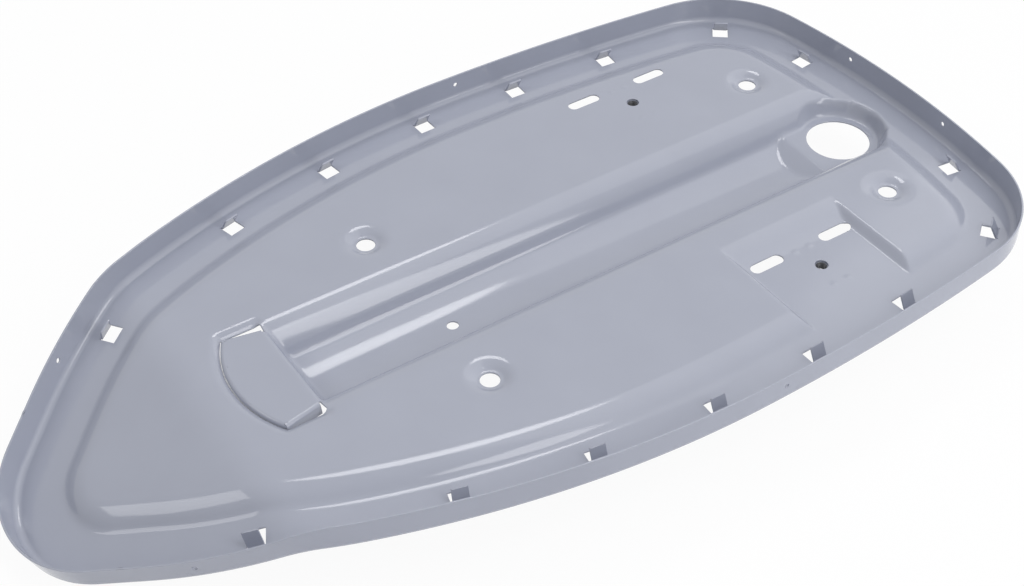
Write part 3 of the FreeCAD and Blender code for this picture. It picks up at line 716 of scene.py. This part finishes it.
def thicken(place, normal, triangles, sheet, edgeRound):
    # gives a surface its sheet: the underside lies one thickness below, and every open edge is closed by
    # a strip with two rounded corners
    pairs = np.concatenate([triangles[:, [0, 1]], triangles[:, [1, 2]], triangles[:, [2, 0]]])
    size = len(place)
    key, back = pairs[:, 0] * size + pairs[:, 1], pairs[:, 1] * size + pairs[:, 0]
    rim = pairs[~np.isin(key, back)]
    run = place[rim[:, 1]] - place[rim[:, 0]]
    away = np.cross(run, normal[rim[:, 0]])
    away /= np.maximum(np.linalg.norm(away, axis=1, keepdims=True), least["direction"])
    outward = np.zeros_like(place)
    for end in (0, 1):
        np.add.at(outward, rim[:, end], away)
    length = np.linalg.norm(outward, axis=1, keepdims=True)
    outward = np.where(length > least["direction"], outward / np.maximum(length, least["direction"]), 0)
    top = place - outward * edgeRound
    bottom = top - normal * sheet
    edgeOnes = np.unique(rim)
    number = np.full(size, -1)
    number[edgeOnes] = np.arange(len(edgeOnes))
    n, m, p = normal[edgeOnes], outward[edgeOnes], top[edgeOnes]
    h = math.sqrt(0.5)
    strips = [
        (p + edgeRound * (h * m + (h - 1) * n), h * (m + n)),
        (p + edgeRound * (m - n), m),
        (p + edgeRound * m - (sheet - edgeRound) * n, m),
        (p + edgeRound * h * m - (sheet - edgeRound * (1 - h)) * n, h * (m - n)),
    ]
    places = np.concatenate([top, bottom] + [s[0] for s in strips])
    normals = np.concatenate([normal, -normal] + [s[1] for s in strips])
    rows = [rim] + [2 * size + k * len(edgeOnes) + number[rim] for k in range(len(strips))] + [rim + size]
    faces = [triangles, triangles[:, ::-1] + size]
    for (a0, b0), (a1, b1) in zip([row.T for row in rows[:-1]], [row.T for row in rows[1:]]):
        faces += [np.stack([b0, a0, a1], -1), np.stack([b0, a1, b1], -1)]
    return places, normals, np.concatenate(faces)


up = np.array([0.0, 0.0, 1.0])


def bentStrip(origin, reach, across, length, width, angle, radius, side, f):
    # a flat strip carried round a bend: it leaves the sheet along reach and turns up (side 1) or down (-1);
    # its root lies a little inside the sheet
    a = math.radians(angle)
    topRadius = radius if side > 0 else radius + f["sheet"]
    leg = length - (radius + f["sheet"] / 2) * a
    turn = np.linspace(0, a, net["bendRows"])
    rest = np.arange(1, net["legRows"] + 1) / net["legRows"] * leg
    bendU, bendW = topRadius * np.sin(turn), topRadius * (1 - np.cos(turn))
    u = np.concatenate([[-f["stripRoot"]], bendU, bendU[-1] + rest * math.cos(a)])
    w = np.concatenate([[0.0], bendW, bendW[-1] + rest * math.sin(a)])
    tilt = np.concatenate([[0.0], turn, np.full(len(rest), a)])[:, None, None]
    v = np.linspace(-width / 2, width / 2, net["stripColumns"])[None, :, None]
    height = (side * w - f["stripSunk"])[:, None, None]
    place = origin + reach * u[:, None, None] + up * height + across * v
    normal = np.broadcast_to(up * np.cos(tilt) - side * reach * np.sin(tilt), place.shape)
    faces = gridFaces(*place.shape[:2])
    if np.dot(np.cross(reach, across), up) < 0:
        faces = faces[:, ::-1]
    return thicken(place.reshape(-1, 3), normal.reshape(-1, 3), faces, f["sheet"], f["stripRound"])


def gridFaces(rows, columns):
    a = (np.arange(rows - 1)[:, None] * columns + np.arange(columns - 1)).ravel()
    b, c, d = a + columns, a + columns + 1, a + 1
    return np.concatenate([np.stack([a, b, c], -1), np.stack([a, c, d], -1)])


def frontFlange(f):
    # the tongue's curved front edge, turned down: a bend and a leg that leans out a little under the lip,
    # both carried round the curve and a little past the tongue's corners
    bend = f["flangeRadius"] + f["sheet"]
    turn = np.linspace(0, math.pi / 2, net["bendRows"])
    leg = np.linspace(0, f["frontFlange"] - bend, net["legRows"])[1:]
    lean = leg * math.tan(math.radians(f["frontLean"]))
    root = [flatRadius - f["stripRoot"]]
    r = np.concatenate([root, flatRadius + bend * np.sin(turn), f["tongueRadius"] + lean])
    z = np.concatenate([[0.0], bend * (np.cos(turn) - 1), -bend - leg]) - f["stripSunk"]
    tilt = np.concatenate([[0.0], turn, np.full(len(leg), math.pi / 2)])
    end = math.asin((f["tongueHalf"] + f["cornerReach"]) / f["tongueRadius"])
    sweep = np.linspace(-end, end, net["flangeColumns"])
    c, s = np.cos(sweep), np.sin(sweep)
    level = np.ones_like(sweep)
    place = np.stack([tongueCentre - np.outer(r, c), np.outer(r, s), np.outer(z, level)], -1)
    outward = np.sin(tilt)
    normal = np.stack([-np.outer(outward, c), np.outer(outward, s), np.outer(np.cos(tilt), level)], -1)
    faces = gridFaces(len(r), len(sweep))[:, ::-1]
    return thicken(place.reshape(-1, 3), normal.reshape(-1, 3), faces, f["sheet"], f["stripRound"])


def bendNose(place, normal, f):
    # ahead of the bend's first line everything turns down about a level axis below the floor
    r, full = f["bendRadius"], math.radians(f["bendAngle"])
    ahead = np.maximum(f["bendStart"] - place[:, 0], 0)
    turn = np.minimum(ahead / r, full)
    straight = ahead - turn * r
    c, s = np.cos(turn), np.sin(turn)
    x = np.where(ahead > 0, f["bendStart"] - (r + place[:, 2]) * s - straight * c, place[:, 0])
    z = np.where(ahead > 0, -r + (r + place[:, 2]) * c - straight * s, place[:, 2])
    nx = normal[:, 0] * c - normal[:, 2] * s
    nz = normal[:, 0] * s + normal[:, 2] * c
    return np.stack([x, place[:, 1], z], -1), np.stack([nx, normal[:, 1], nz], -1)


def joined(parts):
    start, faces = 0, []
    for place, _, triangles in parts:
        faces.append(triangles + start)
        start += len(place)
    return np.concatenate([p[0] for p in parts]), np.concatenate([p[1] for p in parts]), np.concatenate(faces)


def meshObject(name, place, normal, triangles, material):
    # millimetres to metres, then one mesh with its own normals
    mesh = bpy.data.meshes.new(name)
    mesh.vertices.add(len(place))
    mesh.vertices.foreach_set("co", (place / 1000).astype(np.float32).ravel())
    mesh.loops.add(triangles.size)
    mesh.loops.foreach_set("vertex_index", triangles.astype(np.int32).ravel())
    mesh.polygons.add(len(triangles))
    mesh.polygons.foreach_set("loop_start", np.arange(0, triangles.size, 3, dtype=np.int32))
    mesh.polygons.foreach_set("use_smooth", np.ones(len(triangles), bool))
    mesh.update()
    mesh.validate()
    unit = normal / np.maximum(np.linalg.norm(normal, axis=1, keepdims=True), least["direction"])
    mesh.normals_split_custom_set_from_vertices(unit.tolist())
    mesh.materials.append(material)
    piece = bpy.data.objects.new(name, mesh)
    bpy.context.scene.collection.objects.link(piece)
    return piece


def onTongue(x, y, f):
    # true on the tongue: behind its curved front and between its two sides, which close in towards the root
    back = (f["slotEnd"] - x) / (f["slotEnd"] - slitCornerX)
    half = f["tongueRearHalf"] + (f["tongueHalf"] - f["tongueRearHalf"]) * back
    slack = f["tongueSlack"]
    inFront = (x < f["slotEnd"]) & (np.hypot(x - tongueCentre, y) < flatRadius + slack)
    return inFront & (np.abs(y) < f["tongueHalf"] + slack) & (np.abs(y) <= half + slack)


def pressedPan(f):
    # the pressed sheet, its claws and the tongue's turned-down edges, all bent at the nose and lifted
    blank, triangles = trimmedBlank(f)
    x, y = blank[:, 0], blank[:, 1]
    place, normal = sheetTop(x, y, onTongue(x, y, f), f)
    parts = [thicken(place, normal, triangles, f["sheet"], f["edgeRound"])]
    for distance in mirroredStations(f["clawStations"]):
        point, out = outlineAt(distance)
        hinge = np.append(point - out * (f["clawInset"] - f["claw"] / 2), -f["gutterDrop"])
        reach = np.append(-out, 0.0)
        width = f["claw"] - f["sheet"]
        parts.append(bentStrip(
            hinge, reach, np.cross(up, reach), f["claw"], width, f["clawAngle"], f["clawRadius"], 1, f))
    for side in (1, -1):
        root = np.array([f["slotEnd"], side * f["tongueRearHalf"], 0.0])
        corner = np.array([flatCornerX, side * f["tongueHalf"], 0.0])
        length = np.linalg.norm(root - corner)
        across = (root - corner) / length
        reach = np.cross(up, across) * side
        width = length - f["slotEndRadius"] + f["cornerReach"]
        middle = (root + corner - across * (f["slotEndRadius"] + f["cornerReach"])) / 2
        parts.append(bentStrip(
            middle, reach, across, f["flangeHeight"], width, f["flangeAngle"], f["flangeRadius"], -1, f))
    parts.append(frontFlange(f))
    place, normal, triangles = joined(parts)
    place, normal = bendNose(place, normal, f)
    place[:, 2] += f["lift"]
    return place, normal, triangles


# dip-coated pressed steel: a smooth grey coat that mirrors the lamps a little blurred, with faint orange peel
# and a film that is slightly uneven in tone and gloss
coat = {
    "light": "#a7abb9", "dark": "#a0a4b2", "patchMm": 38.0, "patchDetail": 3.0, "patchRough": 0.5,
    "peelMm": 1.6, "peelDetail": 1.0, "peelDepth": 0.000003,
    "roughLow": 0.07, "roughHigh": 0.11, "ior": 1.5,
}


def steelSurface(name, c):
    material, tree = newMaterial(name)
    coords = addNode(tree, "ShaderNodeTexCoord").outputs["Object"]
    film = addNode(tree, "ShaderNodeTexNoise", None, {
        "Vector": coords, "Scale": 1000 / c["patchMm"],
        "Detail": c["patchDetail"], "Roughness": c["patchRough"]}).outputs["Fac"]
    shade = addNode(tree, "ShaderNodeMix", {"data_type": "RGBA"}, {
        "Factor": film, 6: linear(c["dark"]), 7: linear(c["light"])})
    rough = addNode(tree, "ShaderNodeMapRange", None, {
        "Value": film, "To Min": c["roughLow"], "To Max": c["roughHigh"]})
    peel = addNode(tree, "ShaderNodeTexNoise", None, {
        "Vector": coords, "Scale": 1000 / c["peelMm"], "Detail": c["peelDetail"]})
    bump = addNode(tree, "ShaderNodeBump", None, {
        "Height": peel.outputs["Fac"], "Distance": c["peelDepth"], "Strength": 1.0})
    shader = addNode(tree, "ShaderNodeBsdfPrincipled", None, {
        "Base Color": shade.outputs[2], "Roughness": rough.outputs["Result"],
        "IOR": c["ior"], "Normal": bump.outputs["Normal"]})
    addNode(tree, "ShaderNodeOutputMaterial", None, {"Surface": shader.outputs["BSDF"]})
    return material


basePan = meshObject("basePan", *pressedPan(form), steelSurface("dip-coated pressed steel", coat))
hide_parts("base_pan")
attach(basePan, "root")
print("base pan:", len(basePan.data.polygons), "triangles")

# the nuts keep their CAD bodies, in the same coat, a little darker
nutCoat = dict(coat, light="#9094a2", dark="#868a98", patchMm=9.0)
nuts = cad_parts["weld_nuts"]
nuts.data.materials.clear()
nuts.data.materials.append(steelSurface("dip-coated weld nut", nutCoat))

# threads in the nuts' bores, in millimetres, coloured dark as painted shade deep in the bores
thread = {
    "bore": 3.0, "depth": 0.54, "pitch": 1.0, "length": 4.5, "fade": 0.5, "sunk": 0.04,
    "around": 48, "along": 82,
}
threadShadeSteel = dict(coat, light="#55565c", dark="#3a3b40", patchMm=2.5, roughLow=0.25, roughHigh=0.4)


def threadSleeve(x, y, top, t):
    # a sleeve whose inner radius falls and rises once per pitch along the bore, its start turning with the
    # angle; the ridge fades out at both ends and the outer wall lies just inside the nut
    turn = np.linspace(0, 2 * math.pi, t["around"], endpoint=False)[:, None]
    z = np.linspace(-t["length"], 0, t["along"])[None]
    phase = (z / t["pitch"] - turn / (2 * math.pi)) % 1
    fade = np.clip(np.minimum(-z, z + t["length"]) / t["fade"], 0, 1)
    inner = t["bore"] - t["depth"] * (1 - np.abs(2 * phase - 1)) * fade
    outer = np.full((len(turn), 2), t["bore"] + t["sunk"])
    radius = np.concatenate([inner, outer], 1)
    height = np.broadcast_to(np.concatenate([z, [[0.0, -t["length"]]]], 1), radius.shape)
    place = np.stack([x + radius * np.cos(turn), y + radius * np.sin(turn), top + height], -1)
    rows, columns = radius.shape
    i, j = np.meshgrid(np.arange(rows), np.arange(columns), indexing="ij")
    a, b = i * columns + j, (i + 1) % rows * columns + j
    c, d = (i + 1) % rows * columns + (j + 1) % columns, i * columns + (j + 1) % columns
    faces = np.concatenate([np.stack([a, d, c], -1).reshape(-1, 3), np.stack([a, c, b], -1).reshape(-1, 3)])
    place = place.reshape(-1, 3)
    p0, p1, p2 = (place[faces[:, k]] for k in range(3))
    normal = np.zeros_like(place)
    for k in range(3):
        np.add.at(normal, faces[:, k], np.cross(p1 - p0, p2 - p0))
    return place, normal, faces


nutTop = form["lift"] - form["sheet"]
sleeves = [threadSleeve(form["bracketX"], slotY - form["nutOffset"], level + nutTop, thread)
           for slotY, level in ((form["farSlotY"], 0.0), (form["nearSlotY"], -form["gutterDrop"]))]
# the threads' dark steel colour is painted shade in the nuts' bores
nutThreads = meshObject("nutThreads", *joined(sleeves), steelSurface("thread steel in painted shade", threadShadeSteel))
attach(nutThreads, "root")
print("nut threads:", len(nutThreads.data.polygons), "triangles")

# stage: a white floor that keeps a soft shadow, seen as white by camera and mirror rays
stage = {"size": 6.0, "white": 1.0, "shadowShare": 0.06, "floorColour": "#f4f4f6", "sky": 0.5}


def whiteRays(tree):
    # 1 for camera, glossy and transmission rays, else 0
    path = addNode(tree, "ShaderNodeLightPath").outputs
    white = path["Is Camera Ray"]
    for kind in ("Is Glossy Ray", "Is Transmission Ray"):
        white = addNode(tree, "ShaderNodeMath", {"operation": "MAXIMUM"}, {0: white, 1: path[kind]}).outputs[0]
    return white


def floorMaterial(s):
    material, tree = newMaterial("white studio floor")
    matt = addNode(tree, "ShaderNodeBsdfDiffuse", None, {"Color": linear(s["floorColour"])})
    glow = addNode(tree, "ShaderNodeEmission", None, {"Color": (1, 1, 1, 1), "Strength": s["white"]})
    share = addNode(tree, "ShaderNodeMath", {"operation": "MULTIPLY"}, {
        0: whiteRays(tree), 1: 1 - s["shadowShare"]})
    mix = addNode(tree, "ShaderNodeMixShader", None, {
        0: share.outputs[0], 1: matt.outputs[0], 2: glow.outputs[0]})
    addNode(tree, "ShaderNodeOutputMaterial", None, {"Surface": mix.outputs[0]})
    return material


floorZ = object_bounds()[0][2]
half = stage["size"]
floorCorners = [(x * half, y * half, floorZ) for x, y in ((-1, -1), (1, -1), (1, 1), (-1, 1))]
floorMesh = bpy.data.meshes.new("studioFloor")
floorMesh.from_pydata(floorCorners, [], [(0, 1, 2, 3)])
floorMesh.materials.append(floorMaterial(stage))
studioFloor = bpy.data.objects.new("studioFloor", floorMesh)
bpy.context.scene.collection.objects.link(studioFloor)

world = bpy.data.worlds.new("studio")
bpy.context.scene.world = world
world.use_nodes = True
skyTree = world.node_tree
skyTree.nodes.clear()
skyLevel = addNode(skyTree, "ShaderNodeMapRange", None, {
    "Value": whiteRays(skyTree), "To Min": stage["sky"], "To Max": stage["white"]})
sky = addNode(skyTree, "ShaderNodeBackground", None, {
    "Color": (1, 1, 1, 1), "Strength": skyLevel.outputs["Result"]})
addNode(skyTree, "ShaderNodeOutputWorld", None, {"Surface": sky.outputs[0]})

# four soft lights: an oval softbox on the far side, mirrored along the channel and the brows, a large panel
# beyond the rear end for the general level, a tall strip on the near side and a small box beyond the nose;
# degrees, metres and watts
lamps = {
    "softbox": {"azimuth": 56.0, "elevation": 60.0, "distance": 2.5,
                "shape": "ELLIPSE", "width": 0.8, "height": 0.55, "power": 6.6},
    "panel": {"azimuth": 0.0, "elevation": 48.0, "distance": 3.0,
              "shape": "RECTANGLE", "width": 3.2, "height": 3.0, "power": 24.0},
    "strip": {"azimuth": -66.0, "elevation": 42.0, "distance": 1.5,
              "shape": "RECTANGLE", "width": 0.4, "height": 1.7, "power": 9.0},
    "noseLight": {"azimuth": 158.0, "elevation": 41.0, "distance": 1.5,
                  "shape": "RECTANGLE", "width": 0.6, "height": 0.4, "power": 2.0},
}
lampAim = Vector((-0.1, 0, 0))


def addLamp(name, s):
    light = bpy.data.lights.new(name, "AREA")
    light.shape, light.size, light.size_y, light.energy = s["shape"], s["width"], s["height"], s["power"]
    az, el = math.radians(s["azimuth"]), math.radians(s["elevation"])
    away = Vector((math.cos(az) * math.cos(el), math.sin(az) * math.cos(el), math.sin(el)))
    lamp = bpy.data.objects.new(name, light)
    lamp.location = lampAim + away * s["distance"]
    lamp.rotation_euler = away.to_track_quat("Z", "Y").to_euler()
    bpy.context.scene.collection.objects.link(lamp)


for lampName, lampSizes in lamps.items():
    addLamp(lampName, lampSizes)
print("stage and light set")

# camera at the photograph's angle, worked out from the hole pattern
view = {
    "place": (-0.4316, -0.5320, 0.5710), "target": (-0.0876, -0.0165, 0.0026),
    "lens": 58.55, "sensor": 36.0, "clipStart": 0.01,
}
cameraData = bpy.data.cameras.new("camera")
cameraData.lens, cameraData.sensor_width = view["lens"], view["sensor"]
cameraData.clip_start = view["clipStart"]
camera = bpy.data.objects.new("camera", cameraData)
camera.location = view["place"]
camera.rotation_euler = (Vector(view["target"]) - Vector(view["place"])).to_track_quat("-Z", "Y").to_euler()
bpy.context.scene.collection.objects.link(camera)
bpy.context.scene.camera = camera
bpy.context.scene.view_settings.view_transform = "Standard"
